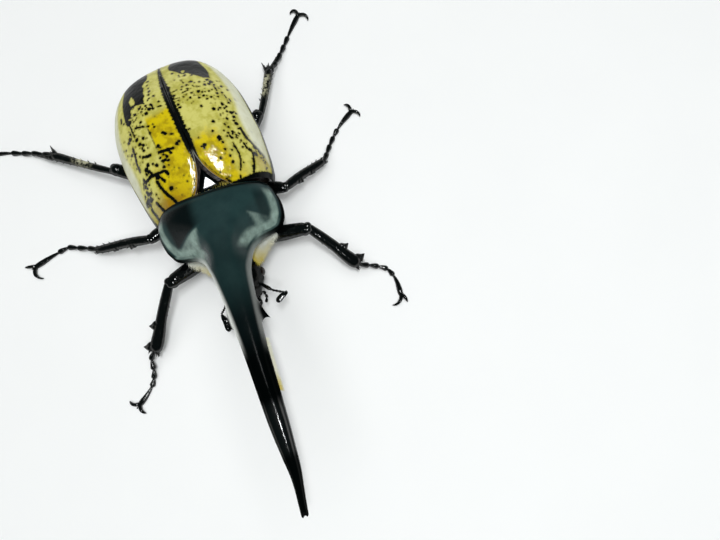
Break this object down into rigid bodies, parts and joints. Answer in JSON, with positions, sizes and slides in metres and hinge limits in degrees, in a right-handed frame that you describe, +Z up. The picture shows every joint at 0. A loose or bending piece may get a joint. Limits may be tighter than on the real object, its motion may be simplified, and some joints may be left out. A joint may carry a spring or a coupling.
{
  "type": "hercules beetle",
  "caption": "Still, life-size male hercules beetle standing on its feet, with a long thorax horn curved over a shorter head horn and spotted yellow wing cases.",
  "frame": {"origin": "on the floor, below the middle of the beetle's box", "axes": "-Y is the way the beetle faces, +X is the beetle's left and +Z is up"},
  "size_m": [0.1174, 0.1468, 0.0326],
  "materials": {
    "black_cuticle": "satin to glossy black shell with a blue-green sheen",
    "yellow_elytra": "glossy yellow to pale olive shell with black spots",
    "eye": "glossy dark brown-black"
  },
  "bodies": {
    "root": {"abdomen": "black_cuticle", "antenna_left": "black_cuticle", "antenna_right": "black_cuticle", "cephalic_horn": "black_cuticle", "coxa_fore_left": "black_cuticle", "coxa_fore_right": "black_cuticle", "coxa_hind_left": "black_cuticle", "coxa_hind_right": "black_cuticle", "coxa_mid_left": "black_cuticle", "coxa_mid_right": "black_cuticle", "elytron_left": "yellow_elytra", "elytron_right": "yellow_elytra", "eye_left": "eye", "eye_right": "eye", "femur_fore_left": "black_cuticle", "femur_fore_right": "black_cuticle", "femur_hind_left": "black_cuticle", "femur_hind_right": "black_cuticle", "femur_mid_left": "black_cuticle", "femur_mid_right": "black_cuticle", "head": "black_cuticle", "hind_thorax": "black_cuticle", "mandible_left": "black_cuticle", "mandible_right": "black_cuticle", "palps_left": "black_cuticle", "palps_right": "black_cuticle", "pronotum": "black_cuticle", "prosternum": "black_cuticle", "scutellum": "black_cuticle", "tarsus_fore_left": "black_cuticle", "tarsus_fore_right": "black_cuticle", "tarsus_hind_left": "black_cuticle", "tarsus_hind_right": "black_cuticle", "tarsus_mid_left": "black_cuticle", "tarsus_mid_right": "black_cuticle", "thoracic_horn": "black_cuticle", "tibia_fore_left": "black_cuticle", "tibia_fore_right": "black_cuticle", "tibia_hind_left": "black_cuticle", "tibia_hind_right": "black_cuticle", "tibia_mid_left": "black_cuticle", "tibia_mid_right": "black_cuticle"}
  },
  "joints": []
}
